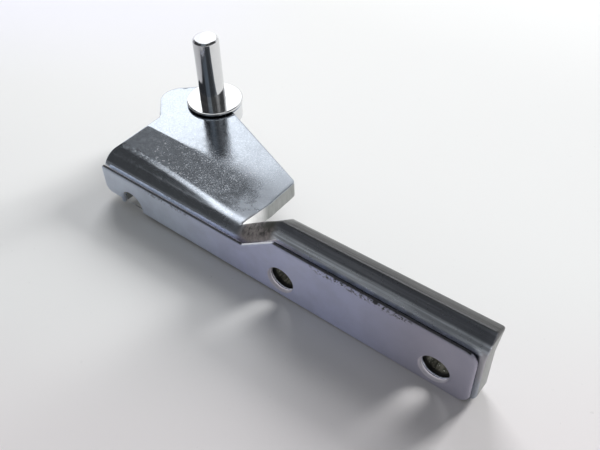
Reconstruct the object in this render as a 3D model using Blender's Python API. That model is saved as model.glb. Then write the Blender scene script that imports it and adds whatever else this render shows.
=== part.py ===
"""Refrigerator door hinge: a folded steel bracket with a facing plate, a hinge pin and a washer.

X runs along the flange, Y points away from the face that is screwed down, Z is the pin's direction.
Sizes are measured from the bracket's lower left corner on the front of the facing plate. The part's
origin is on that same face, midway between the two screw holes.
"""
import math

import bmesh
import bpy

MM = 0.001

# Sheet and fits
SHEET = 4.0 * MM
PLATE_THICK = 0.8 * MM
CLEARANCE = 0.3 * MM
FACE_Y = PLATE_THICK + CLEARANCE
BACK_Y = FACE_Y + SHEET

# Tongue: the left half of the sheet, folded back flat
TONGUE_TOP_Z = 10.0 * MM
TONGUE_UNDER_Z = TONGUE_TOP_Z - SHEET
TONGUE_WIDTH = 41.2 * MM
TONGUE_BEND_INNER = 0.5 * MM
TONGUE_BEND_RADIUS = SHEET + TONGUE_BEND_INNER
TONGUE_BEND_Z = TONGUE_TOP_Z - TONGUE_BEND_RADIUS
RIGHT_EDGE_END_Y = 20.7 * MM
RIGHT_TIP_RADIUS = 1.6 * MM

# Slit that parts the tongue from the rib
SLIT_TAPER = 1.4 * MM
SLIT_TIP_X = TONGUE_WIDTH - SLIT_TAPER
SLIT_FLARE_Y = 12.0 * MM
SLIT_ANGLE = math.radians(69)
SLIT_TIP_LIP = 0.1 * MM

# Pin and washer
PIN_X = 6.4 * MM
PIN_Y = 32.2 * MM
PIN_DIAMETER = 6.2 * MM
PIN_STAND = 16.8 * MM
PIN_BELOW_TONGUE = 12.8 * MM
PIN_CHAMFER = 0.45 * MM
COLLAR_DIAMETER = 9.6 * MM
COLLAR_HEIGHT = 1.5 * MM
WASHER_DIAMETER = 13.8 * MM
WASHER_THICK = 0.7 * MM
WASHER_CHAMFER = 0.2 * MM
WASHER_PLAY = 0.45 * MM
WASHER_PLAY_ANGLE = math.radians(42)

# Tongue's outline round the pin
BOSS_RADIUS = 7.0 * MM
SLANT_BEHIND_PIN = 2.2 * MM
EAR_OUT = 14.5 * MM
EAR_FORWARD = 3.8 * MM
EAR_RADIUS = 4.9 * MM
EAR_ROOM = 1.5 * MM
LEFT_EDGE_FORWARD = 12.4 * MM

# Rib along the right half, and the step that leads up to it
STEP_LENGTH = 11.5 * MM
STEP_END_X = SLIT_TIP_X + STEP_LENGTH
RIB_RISE = 5.9 * MM
RIB_BEND_Z = TONGUE_BEND_Z + RIB_RISE
RIB_BEND_INNER = 1.5 * MM
RIB_BEND_RADIUS = SHEET + RIB_BEND_INNER
RIB_LEAN = math.radians(33)
RIB_HEIGHT_AT_STEP = 3.5 * MM
RIB_HEIGHT_AT_END = 4.2 * MM

# Flange
FLANGE_LENGTH = 96.8 * MM
HOLE_FROM_TONGUE = 12.0 * MM
HOLE_FROM_END = 8.3 * MM
SCREW_HOLE_X = (TONGUE_WIDTH + HOLE_FROM_TONGUE, FLANGE_LENGTH - HOLE_FROM_END)
SCREW_HOLE_Z = 4.65 * MM
SCREW_HOLE_DIAMETER = 6.0 * MM
SLOT_X = 9.4 * MM
SLOT_Z = 1.2 * MM
SLOT_WIDTH = 6.2 * MM
FOOT_Z = 1.15 * MM
FOOT_END_X = 6.0 * MM
LEFT_CORNER_RADIUS = 2.0 * MM
RIGHT_CORNER_RADIUS = 2.4 * MM
ORIGIN = ((SCREW_HOLE_X[0] + SCREW_HOLE_X[1]) / 2, 0.0, SCREW_HOLE_Z)

# Facing plate
PLATE_LEFT_MARGIN = 0.8 * MM
PLATE_RIGHT_MARGIN = 1.0 * MM
PLATE_BELOW_TONGUE = 1.6 * MM
PLATE_OVER_BEND = 2.7 * MM
PLATE_STEP_DELAY = 3.2 * MM
PLATE_STEP_LEAD = 0.1 * MM
PLATE_STEP_RADIUS = 1.2 * MM
PLATE_TOP_CORNER_RADIUS = 2.6 * MM
PLATE_LEFT_CORNER_RADIUS = 0.4 * MM

# How far cutters reach past the part, and how finely its curves are drawn
REACH = 12.0 * MM
BEND_STEPS = 12
TONGUE_BEND_STEPS = 3
STEP_STATIONS = 14
CORNER_STEPS = 8
SLOT_STEPS = 20
BOSS_STEPS = 24
ROUND_STEPS = 56


def clear_scene():
    for item in list(bpy.data.objects):
        bpy.data.objects.remove(item, do_unlink=True)


def make_material(name, colour, metallic, roughness):
    material = bpy.data.materials.new(name)
    material.use_nodes = True
    shader = material.node_tree.nodes["Principled BSDF"]
    shader.inputs["Base Color"].default_value = (*colour, 1.0)
    shader.inputs["Metallic"].default_value = metallic
    shader.inputs["Roughness"].default_value = roughness
    return material


def place(name, bm):
    """Turn a finished bmesh into an object, moved from the drawing's corner to the part's origin."""
    bmesh.ops.recalc_face_normals(bm, faces=bm.faces)
    mesh = bpy.data.meshes.new(name)
    bm.to_mesh(mesh)
    bm.free()
    item = bpy.data.objects.new(name, mesh)
    item.location = [-value for value in ORIGIN]
    bpy.context.scene.collection.objects.link(item)
    return item


def add_object(name, bm, material):
    item = place(name, bm)
    item.data.materials.append(material)
    item.data.shade_smooth()
    item.data.set_sharp_from_angle(angle=math.radians(30))
    return item


def arc(centre, radius, start, end, steps):
    """Points on an arc from one angle to another, both ends included."""
    points = []
    for i in range(steps + 1):
        angle = start + (end - start) * i / steps
        points.append((centre[0] + radius * math.cos(angle), centre[1] + radius * math.sin(angle)))
    return points


def rounded(corner, before, after, radius):
    """Arc that rounds one corner of an outline, between the points before and after it."""
    def unit(point):
        dx = point[0] - corner[0]
        dy = point[1] - corner[1]
        length = math.hypot(dx, dy)
        return dx / length, dy / length
    a = unit(before)
    b = unit(after)
    half = math.acos(max(-1.0, min(1.0, a[0] * b[0] + a[1] * b[1]))) / 2
    reach = radius / math.tan(half)
    middle = (a[0] + b[0], a[1] + b[1])
    scale = radius / math.sin(half) / math.hypot(*middle)
    centre = (corner[0] + middle[0] * scale, corner[1] + middle[1] * scale)
    start = math.atan2(corner[1] + a[1] * reach - centre[1], corner[0] + a[0] * reach - centre[0])
    end = math.atan2(corner[1] + b[1] * reach - centre[1], corner[0] + b[0] * reach - centre[0])
    turn = (end - start + math.pi) % (2 * math.pi) - math.pi
    return arc(centre, radius, start, start + turn, CORNER_STEPS)


def round_outline(corners):
    """Closed outline from (x, y, radius) corners, each rounded by its own radius."""
    points = []
    for i, (x, y, radius) in enumerate(corners):
        before = corners[i - 1]
        after = corners[(i + 1) % len(corners)]
        if radius:
            points += rounded((x, y), before, after, radius)
        else:
            points.append((x, y))
    return points


def upright_prism(outline, y_front, y_back):
    """Solid with an outline in X and Z, extruded along Y."""
    bm = bmesh.new()
    front = [bm.verts.new((x, y_front, z)) for x, z in outline]
    face = bm.faces.new(front)
    extruded = bmesh.ops.extrude_face_region(bm, geom=[face])
    moved = [v for v in extruded["geom"] if isinstance(v, bmesh.types.BMVert)]
    bmesh.ops.translate(bm, vec=(0, y_back - y_front, 0), verts=moved)
    return bm


def turned(profile, x, y):
    """Solid of revolution about an upright axis, from (radius, z) points that start and end on it."""
    bm = bmesh.new()
    line = [bm.verts.new((radius, 0, z)) for radius, z in profile]
    edges = [bm.edges.new((line[i], line[i + 1])) for i in range(len(line) - 1)]
    bmesh.ops.spin(bm, geom=line + edges, cent=(0, 0, 0), axis=(0, 0, 1), angle=2 * math.pi,
                   steps=ROUND_STEPS, use_duplicate=False)
    bmesh.ops.remove_doubles(bm, verts=bm.verts, dist=1e-7)
    bmesh.ops.translate(bm, vec=(x, y, 0), verts=bm.verts)
    return bm


def add_cutter(name, bm):
    cutter = place(name, bm)
    cutter.hide_render = True
    cutter.display_type = "WIRE"
    return cutter


def cut(item, cutter, operation="DIFFERENCE"):
    modifier = item.modifiers.new(cutter.name, "BOOLEAN")
    modifier.operation = operation
    modifier.solver = "EXACT"
    modifier.object = cutter


def bend_points(bend_z, radius, start, end, steps):
    """Front and rear (y, z) points of a bend in the sheet, between two angles from the upright."""
    front, rear = [], []
    for i in range(steps + 1):
        angle = start + (end - start) * i / steps
        for line, bend in ((front, radius), (rear, radius - SHEET)):
            line.append((FACE_Y + radius - bend * math.cos(angle), bend_z + bend * math.sin(angle)))
    return front, rear


def sheet_section(bend_z, radius, lean, straight):
    """Front and rear (y, z) points of the flange from its foot to the end of its bent top."""
    front, rear = bend_points(bend_z, radius, 0.0, lean, BEND_STEPS)
    for line in (front, rear):
        y, z = line[-1]
        line.append((y + straight * math.sin(lean), z + straight * math.cos(lean)))
    return [(FACE_Y, 0.0)] + front, [(BACK_Y, 0.0)] + rear


def rib_section(share):
    """Section of the step, from the slit's tip (share 0) to the full rib (share 1)."""
    ease = share * share * (3 - 2 * share)
    rise = RIB_RISE * (share + ease) / 2
    radius = TONGUE_BEND_RADIUS + (RIB_BEND_RADIUS - TONGUE_BEND_RADIUS) * share
    lean = SLIT_ANGLE + (RIB_LEAN - SLIT_ANGLE) * ease
    return sheet_section(TONGUE_BEND_Z + rise, radius, lean, SLIT_TIP_LIP + (RIB_HEIGHT_AT_STEP - SLIT_TIP_LIP) * share)


def end_section():
    return sheet_section(RIB_BEND_Z, RIB_BEND_RADIUS, RIB_LEAN, RIB_HEIGHT_AT_END)


def tongue_outline():
    """Plan outline of the tongue beyond its bend, from its right edge round the pin to its left edge."""
    pin = (PIN_X, PIN_Y)
    tip = (TONGUE_WIDTH, RIGHT_EDGE_END_Y)
    to_pin = math.atan2(pin[1] - tip[1], pin[0] - tip[0])
    span = math.hypot(pin[0] - tip[0], pin[1] - tip[1])
    slant = to_pin - math.asin(SLANT_BEHIND_PIN / span)
    slant_end = (tip[0] + span * math.cos(slant), tip[1] + span * math.sin(slant))
    points = rounded(tip, (TONGUE_WIDTH, SLIT_FLARE_Y), slant_end, RIGHT_TIP_RADIUS)
    meet = slant - math.pi / 2 - math.acos(SLANT_BEHIND_PIN / BOSS_RADIUS)
    ear = (pin[0] - EAR_OUT, pin[1] - EAR_FORWARD)
    away = math.atan2(ear[1] - pin[1], ear[0] - pin[0])
    leave = away - math.acos(BOSS_RADIUS / math.hypot(EAR_OUT, EAR_FORWARD))
    left_end = (0.0, pin[1] - LEFT_EDGE_FORWARD)
    points += arc(pin, BOSS_RADIUS, meet, leave % (2 * math.pi), BOSS_STEPS)
    points += rounded(ear, points[-1], left_end, EAR_RADIUS)
    points.append(left_end)
    return points


def slit_x(y):
    """The tongue's right edge, which flares a little away from the slit's tip."""
    share = max(0.0, min(1.0, (SLIT_FLARE_Y - y) / (SLIT_FLARE_Y - FACE_Y)))
    return TONGUE_WIDTH - SLIT_TAPER * share


def bracket_mesh():
    """The folded sheet: left half with the tongue, right half with the rib, joined below the slit."""
    bm = bmesh.new()
    low_front, low_rear = rib_section(0.0)
    bend_front, bend_rear = bend_points(TONGUE_BEND_Z, TONGUE_BEND_RADIUS, SLIT_ANGLE, math.pi / 2,
                                        TONGUE_BEND_STEPS)

    def line_of(points, x_at):
        return [bm.verts.new((x_at(y), y, z)) for y, z in points]

    def strip(a, b):
        for i in range(len(a) - 1):
            bm.faces.new((a[i], a[i + 1], b[i + 1], b[i]))

    # The tongue's half, from its left edge to the seam below the slit and the slit's edge above it
    left = {}
    seam = {}
    for key, points in (("front", low_front), ("rear", low_rear),
                        ("bend_front", bend_front[1:]), ("bend_rear", bend_rear[1:])):
        left[key] = line_of(points, lambda y: 0.0)
        seam[key] = line_of(points, slit_x)
    strip(left["front"] + left["bend_front"], seam["front"] + seam["bend_front"])
    strip(left["rear"] + left["bend_rear"], seam["rear"] + seam["bend_rear"])
    bm.faces.new((left["front"][0], seam["front"][0], seam["rear"][0], left["rear"][0]))

    loop = [(slit_x(SLIT_FLARE_Y), SLIT_FLARE_Y)] + tongue_outline()
    top = [bm.verts.new((x, y, TONGUE_TOP_Z)) for x, y in loop]
    under = [bm.verts.new((x, y, TONGUE_UNDER_Z)) for x, y in loop]
    bm.faces.new([left["bend_front"][-1], seam["bend_front"][-1]] + top)
    bm.faces.new([left["bend_rear"][-1], seam["bend_rear"][-1]] + under)
    strip(top, under)
    bm.faces.new(left["front"] + left["bend_front"] + [top[-1], under[-1]]
                 + left["bend_rear"][::-1] + left["rear"][::-1])
    bm.faces.new([seam["front"][-1]] + seam["bend_front"] + [top[0], under[0]]
                 + seam["bend_rear"][::-1] + [seam["rear"][-1]])

    # The step and the rib, swept from the seam to the flange's right end
    stations = []
    for i in range(1, STEP_STATIONS + 1):
        share = i / STEP_STATIONS
        stations.append((SLIT_TIP_X + STEP_LENGTH * share, rib_section(share)))
    stations.append((FLANGE_LENGTH, end_section()))
    front, rear = seam["front"], seam["rear"]
    for x, (next_front, next_rear) in stations:
        front_line = line_of(next_front, lambda y: x)
        rear_line = line_of(next_rear, lambda y: x)
        strip(front, front_line)
        strip(rear, rear_line)
        bm.faces.new((front[0], front_line[0], rear_line[0], rear[0]))
        bm.faces.new((front[-1], front_line[-1], rear_line[-1], rear[-1]))
        front, rear = front_line, rear_line
    bm.faces.new(front + rear[::-1])
    return bm


def slot_outline():
    """Open slot at the flange's lower left, round at its top."""
    half = SLOT_WIDTH / 2
    points = arc((SLOT_X, SLOT_Z), half, 0.0, math.pi, SLOT_STEPS)
    return points + [(SLOT_X - half, -REACH), (SLOT_X + half, -REACH)]


def screw_hole(x):
    return arc((x, SCREW_HOLE_Z), SCREW_HOLE_DIAMETER / 2, 0.0, 2 * math.pi, ROUND_STEPS)[:-1]


def cut_openings(item):
    """Slot and screw holes, in line through the plate and the flange."""
    depth = (-REACH, BACK_Y + CLEARANCE)
    cut(item, add_cutter(item.name + "_slot_cutter", upright_prism(slot_outline(), *depth)))
    for i, x in enumerate(SCREW_HOLE_X):
        name = item.name + "_hole_cutter_" + str(i + 1)
        cut(item, add_cutter(name, upright_prism(screw_hole(x), *depth)))


def flange_trim():
    """Region that keeps the bracket's rounded lower corners and its raised lower left foot."""
    top = RIB_BEND_Z + RIB_BEND_RADIUS + RIB_HEIGHT_AT_END + REACH
    under_ear = TONGUE_UNDER_Z - EAR_ROOM
    left = min(0.0, PIN_X - EAR_OUT) - REACH
    return round_outline([
        (0.0, FOOT_Z, LEFT_CORNER_RADIUS),
        (FOOT_END_X, FOOT_Z, 0),
        (FOOT_END_X, -REACH, 0),
        (SLOT_X, -REACH, 0),
        (SLOT_X, 0.0, 0),
        (FLANGE_LENGTH, 0.0, RIGHT_CORNER_RADIUS),
        (FLANGE_LENGTH, top, 0),
        (left, top, 0),
        (left, under_ear, 0),
        (0.0, under_ear, 0),
    ])


def build_bracket(material):
    bracket = add_object("hinge_bracket", bracket_mesh(), material)
    trim = upright_prism(flange_trim(), -REACH, PIN_Y + BOSS_RADIUS + REACH)
    cut(bracket, add_cutter("bracket_trim", trim), "INTERSECT")
    cut_openings(bracket)
    radius = PIN_DIAMETER / 2 + CLEARANCE
    low, high = TONGUE_UNDER_Z - REACH, TONGUE_TOP_Z + REACH
    hole = turned([(0, low), (radius, low), (radius, high), (0, high)], PIN_X, PIN_Y)
    cut(bracket, add_cutter("pin_hole_cutter", hole))
    return bracket


def build_plate(material):
    """Thin plate on the flange's front, short of the flange at both ends, with the flange's openings."""
    left, right = PLATE_LEFT_MARGIN, FLANGE_LENGTH - PLATE_RIGHT_MARGIN
    low_top = TONGUE_TOP_Z - PLATE_BELOW_TONGUE
    high_top = RIB_BEND_Z + PLATE_OVER_BEND
    outline = round_outline([
        (left, FOOT_Z, LEFT_CORNER_RADIUS),
        (FOOT_END_X, FOOT_Z, 0),
        (FOOT_END_X, 0.0, 0),
        (right, 0.0, RIGHT_CORNER_RADIUS),
        (right, high_top, PLATE_TOP_CORNER_RADIUS),
        (STEP_END_X - PLATE_STEP_LEAD, high_top, PLATE_STEP_RADIUS),
        (SLIT_TIP_X + PLATE_STEP_DELAY, low_top, PLATE_STEP_RADIUS),
        (left, low_top, PLATE_LEFT_CORNER_RADIUS),
    ])
    plate = add_object("facing_plate", upright_prism(outline, 0.0, PLATE_THICK), material)
    cut_openings(plate)
    return plate


def build_pin(material):
    """Turned pin: chamfered at both ends, with a collar that holds it under the tongue."""
    radius = PIN_DIAMETER / 2
    top = TONGUE_TOP_Z + CLEARANCE + WASHER_THICK + PIN_STAND
    foot = TONGUE_UNDER_Z - PIN_BELOW_TONGUE
    under = TONGUE_UNDER_Z - CLEARANCE
    profile = [
        (0, top),
        (radius - PIN_CHAMFER, top),
        (radius, top - PIN_CHAMFER),
        (radius, under),
        (COLLAR_DIAMETER / 2, under),
        (COLLAR_DIAMETER / 2, under - COLLAR_HEIGHT),
        (radius, under - COLLAR_HEIGHT),
        (radius, foot + PIN_CHAMFER),
        (radius - PIN_CHAMFER, foot),
        (0, foot),
    ]
    return add_object("hinge_pin", turned(profile, PIN_X, PIN_Y), material)


def build_washer(material):
    """Loose washer on the tongue, pushed to one side of the pin by its play."""
    inner = PIN_DIAMETER / 2 + CLEARANCE + WASHER_PLAY
    outer = WASHER_DIAMETER / 2
    low = TONGUE_TOP_Z + CLEARANCE
    high = low + WASHER_THICK
    profile = [
        (inner, low),
        (outer - WASHER_CHAMFER, low),
        (outer, low + WASHER_CHAMFER),
        (outer, high - WASHER_CHAMFER),
        (outer - WASHER_CHAMFER, high),
        (inner, high),
        (inner, low),
    ]
    x = PIN_X + WASHER_PLAY * math.cos(WASHER_PLAY_ANGLE)
    y = PIN_Y + WASHER_PLAY * math.sin(WASHER_PLAY_ANGLE)
    return add_object("pin_washer", turned(profile, x, y), material)


def main():
    clear_scene()
    zinc = make_material("zinc_plated_sheet", (0.36, 0.37, 0.39), 1.0, 0.32)
    facing = make_material("facing_sheet", (0.44, 0.44, 0.52), 0.3, 0.45)
    nickel = make_material("plated_pin_steel", (0.62, 0.62, 0.63), 1.0, 0.15)
    build_bracket(zinc)
    build_plate(facing)
    build_pin(nickel)
    build_washer(nickel)


main()
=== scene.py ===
"""Looks of a loose refrigerator hinge on a pale table: plated sheet, coated plate, bright pin, washer.

Sizes are in millimetres from the bracket's lower left corner, and place() moves them to the part's frame.
"""
import math
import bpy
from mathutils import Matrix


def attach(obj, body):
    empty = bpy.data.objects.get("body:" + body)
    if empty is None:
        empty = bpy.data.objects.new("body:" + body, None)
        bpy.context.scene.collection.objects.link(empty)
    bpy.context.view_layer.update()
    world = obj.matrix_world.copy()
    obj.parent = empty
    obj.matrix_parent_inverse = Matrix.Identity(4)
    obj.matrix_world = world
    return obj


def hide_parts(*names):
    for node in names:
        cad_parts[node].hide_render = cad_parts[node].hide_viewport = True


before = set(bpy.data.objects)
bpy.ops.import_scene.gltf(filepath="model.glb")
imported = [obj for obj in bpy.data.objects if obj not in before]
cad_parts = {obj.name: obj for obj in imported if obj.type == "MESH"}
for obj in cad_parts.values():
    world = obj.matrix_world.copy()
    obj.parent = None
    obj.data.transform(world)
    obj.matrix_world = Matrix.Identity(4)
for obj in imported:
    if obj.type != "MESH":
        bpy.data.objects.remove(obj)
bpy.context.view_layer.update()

from types import SimpleNamespace

import bmesh
import bpy
import numpy as np
from mathutils import Matrix, Vector, geometry

MM = 0.001
ORIGIN = (70.85, 0.0, 4.65)

# Camera, in the part's frame
CAMERA_AZIMUTH = math.radians(39.12)
CAMERA_ELEVATION = math.radians(44.97)
CAMERA_ROLL = math.radians(1.96)
CAMERA_PLACE = (46.88 * MM, -72.43 * MM, 112.32 * MM)
CAMERA_LENS = 44.31
CAMERA_SENSOR = 36.0
CAMERA_CLIP = (0.01, 10.0)

# Table, in metres: the flange's far lower corner and the pin's foot lie on it, so it falls away behind
TABLE_SLOPE_X = 0.01
TABLE_SLOPE_Y = -0.0516
TABLE_TOUCH = (0.02435, 0.0051, -0.00465)
TABLE_TILTED = (-0.016, 0.045)
TABLE_EASE = (0.03, 0.06)
TABLE_HALF = 1.6

# Lamps: azimuth from +Y towards +X and elevation in degrees, size in metres, watts and colour
LAMP_DISTANCE = 0.9
LAMPS = (
    ("window", 12, 22.5, (0.22, 0.42), 8.9, (1.0, 1.0, 0.99)),
    ("side_window", -45, 29, (0.45, 0.45), 5.5, (0.97, 0.98, 1.0)),
)
AMBIENT = 0.22
BACKGROUND = 0.88
DARK_ROOM = 0.08
ROOM_COLOUR = (0.96, 0.98, 1.0)
BLUE_PANEL_COLOUR = (0.78, 0.9, 1.0)

# Sheet
SHEET = 4.0
SHEET_ARRIS = (0.35, 0.15)
PLATE_THICK = 0.8
FACE_Y = 1.1
BEND_Z = 5.5
BEND_RADIUS = 4.5
TONGUE_WIDTH = 41.2
TONGUE_SIDE_SLACK = 0.35
RIGHT_EDGE_END_Y = 20.7
RIGHT_CORNER_RADIUS = 1.6
SLIT_TAPER = 1.4
SLIT_FLARE_Y = 12.0
SLIT_ANGLE = math.radians(69)
SLIT_TIP_LIP = 0.1
STEP_END_X = 51.3
RIB_RISE = 5.9
RIB_RADIUS = 5.5
RIB_LEAN = math.radians(33)
RIB_HEIGHT_AT_STEP = 3.5
RIB_HEIGHT_AT_END = 4.2
FLANGE_LENGTH = 96.8
FLANGE_CORNER_RADIUS = 2.4
CREST_CORNER_RADIUS = 0.5
FOOT_Z = 1.15
FOOT_END_X = 6.0
FOOT_CORNER_RADIUS = 2.0
SLOT = (9.4, 1.2, 3.1)
SCREW_HOLES = (53.2, 88.5)
SCREW_HOLE_Z = 4.65
SCREW_HOLE_RADIUS = 3.0
BOSS_RADIUS = 7.0
SLANT_BEHIND_PIN = 2.2
EAR = (-8.1, 28.4)
EAR_RADIUS = 4.9
LEFT_EDGE_END_Y = 19.8
OUTLINE_SPACING = 0.45
FLAT_ROWS = 0.7
BEND_ROWS = 0.35
ROWS_PAST_PIN = 8
SHEET_SPACING = 0.65
GRID_CLEARANCE = 0.3

# Strip beside the bend that the press left off the tongue's plane, and the bend's early start
PRESSED_Y = 15.6
PRESSED_END_Y = 4.4
PRESSED_TILT = math.radians(5.5)
EARLY_REACH = 2.3
LATE_REACH = 1.6
EARLY_RADIUS = 6.5

# Pin and washer
PIN = (6.4, 32.2)
PIN_RADIUS = 3.1
PIN_CLEARANCE = 0.1
PIN_TOP = 27.8
PIN_FOOT = -6.8
PIN_FOOT_CHAMFER = 0.45
PIN_TOP_CHAMFER = ((0.0, 0.55), (0.05, 0.42), (0.38, 0.06), (0.52, 0.0))
COLLAR_RADIUS = 4.8
COLLAR_HEIGHT = 1.5
COLLAR_TOP = 5.7
WASHER_RADIUS = 6.9
WASHER_TOP = 11.0
WASHER_THICK = 0.6
WASHER_CLEARANCE = 0.04
WASHER_LOW_RADIUS = 0.16
WASHER_HIGH_RADIUS = 0.3
WASHER_FLAT_INSET = 0.2
WASHER_STILL_RING = 0.5
WASHER_SHIFT = (0.33, 0.30)
ACROSS = (0.78, 0.63)
SHADED_SIDE_LINE = ACROSS[0] * PIN[0] + ACROSS[1] * PIN[1]

# Facing plate
PLATE_LEFT = 0.8
PLATE_RIGHT = 95.8
PLATE_LOW_TOP = 8.4
PLATE_HIGH_TOP = 14.1
PLATE_STEP = (43.0, 51.2)
PLATE_EDGE = (0.4, 0.1)
PLATE_HOLE_EDGE = (0.65, 0.05)
HOLE_FIT = 0.05
PLATE_TOP_RADIUS = 2.6
PLATE_STEP_RADIUS = 1.2
PLATE_LEFT_RADIUS = 0.4
PLATE_SPACING = 0.8
NICK = (75.4, 0.0, 14.1)
RING_HIGHLIGHT_SHIFT = 0.15

# Zones of the bracket's surface: limits along x, y or z and a soft margin, or a start and an end
SPECK_X = (7.0, 30.0, 6.0)
SPECK_Y = (8.0, 17.0, 4.0)
RIB_X = (44.0, 50.0)
RIB_Z = (5.0, 9.0)
ARRIS_X = (48.0, 52.0)
ARRIS_UPWARD = (0.60, 0.68)
MARGIN_X = (95.3, 95.7)
STEP_X = (42.0, 49.0, 3.0)
STEP_Y = (9.0, 6.0)
STEP_SHADE_X = (47.5, 51.0, 1.5)
# Painted highlight line where the sheet goes behind the facing plate, and painted shadow in the gap below it
HIGHLIGHT_LINE_BAND = (-0.15, 0.15, 0.22)
HIGHLIGHT_LINE_Y = (4.5, 3.0)
HIGHLIGHT_LINE_END_X = (96.2, 95.4)
GAP_SHADOW_BELOW = (-0.25, -0.4)
GAP_SHADOW_END_X = (94.2, 93.2)
GAP_SHADOW_Z = (5.0, 6.0)
CORNER_X = (33.0, 39.0)
CORNER_END_X = (42.5, 41.0)

# Colours, as pairs of dark and light where a texture mixes them
ZINC = ((0.44, 0.475, 0.53), (0.50, 0.54, 0.595))
ZINC_SPECK = (0.78, 0.80, 0.84)
ZINC_GRAIN = (0.70, 0.73, 0.78)
RIB_FACE_SHADE = ((0.15, 0.158, 0.178), (0.23, 0.242, 0.268))
RIB_STREAK_REFLECTION = (0.80, 0.85, 0.91)
RIB_TOP = (0.28, 0.285, 0.29)
RIB_ARRIS_SHADE = (0.20, 0.20, 0.205)
END_MARGIN = (0.50, 0.50, 0.53)
STEP_FACE = ((0.06, 0.057, 0.055), (0.25, 0.225, 0.215))
STEP_LOW = (0.40, 0.365, 0.36)
STEP_SHADE = (0.07, 0.068, 0.06)
HIGHLIGHT_LINE_TINT = ((0.92, 0.87, 0.84), (0.72, 0.76, 0.82))
GAP_SHADOW = (0.03, 0.03, 0.035)
SHEARED_WALL = ((0.26, 0.27, 0.26), (0.46, 0.47, 0.46))
SHEARED_CREST = ((0.03, 0.03, 0.03), (0.10, 0.10, 0.10))
SHEARED_TORN_HIGHLIGHT = (0.96, 0.96, 0.95)
SHEARED_BACK = (0.78, 0.79, 0.80)
HOLE_WALL = ((0.03, 0.03, 0.022), (0.14, 0.135, 0.11))
HOLE_PAINTED_GLINT = (0.45, 0.45, 0.40)
HOLE_MOUTH_SHADE = (0.008, 0.008, 0.008)
COAT_LEFT_LIGHT = (0.80, 0.87, 1.0)
COAT_MIDDLE = (0.72, 0.745, 1.0)
COAT_RIGHT_SHADE = (0.55, 0.53, 0.64)
COAT_CLOUD = (0.44, 0.45, 0.55)
COAT_WORN = (0.05, 0.05, 0.055)
COAT_RING_HIGHLIGHT = (0.84, 0.80, 0.88)
RIM_TOP_SHADOW = (0.025, 0.025, 0.03)
RIM_STEP_HIGHLIGHT = (0.85, 0.86, 0.9)
RIM_BELOW_SHADE = (0.42, 0.37, 0.33)
BRIGHT = ((0.68, 0.68, 0.69), (0.78, 0.78, 0.78))
BRIGHT_SHADED_SIDE = (0.50, 0.50, 0.525)
TABLE_PALE = ((0.81, 0.81, 0.805), (0.83, 0.83, 0.825))
TABLE_FRONT_SHADE = (0.82, 0.785, 0.79)
TABLE_BLUE = (0.83, 0.825, 0.88)
TABLE_FLECK = (0.35, 0.34, 0.33)


def make_camera():
    """Camera at the photograph's viewing angle, from its azimuth, elevation and roll."""
    a, e, roll = CAMERA_AZIMUTH, CAMERA_ELEVATION, CAMERA_ROLL
    forward = Vector((-math.sin(a) * math.cos(e), math.cos(a) * math.cos(e), -math.sin(e)))
    level = Vector((math.cos(a), math.sin(a), 0.0))
    down = forward.cross(level)
    right = level * math.cos(roll) + down * math.sin(roll)
    below = down * math.cos(roll) - level * math.sin(roll)
    data = bpy.data.cameras.new("camera")
    data.sensor_width = CAMERA_SENSOR
    data.lens = CAMERA_LENS
    data.clip_start, data.clip_end = CAMERA_CLIP
    camera = bpy.data.objects.new("camera", data)
    bpy.context.scene.collection.objects.link(camera)
    turn = Matrix((right, -below, -forward)).transposed()
    camera.matrix_world = Matrix.Translation(CAMERA_PLACE) @ turn.to_4x4()
    bpy.context.scene.camera = camera


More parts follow.
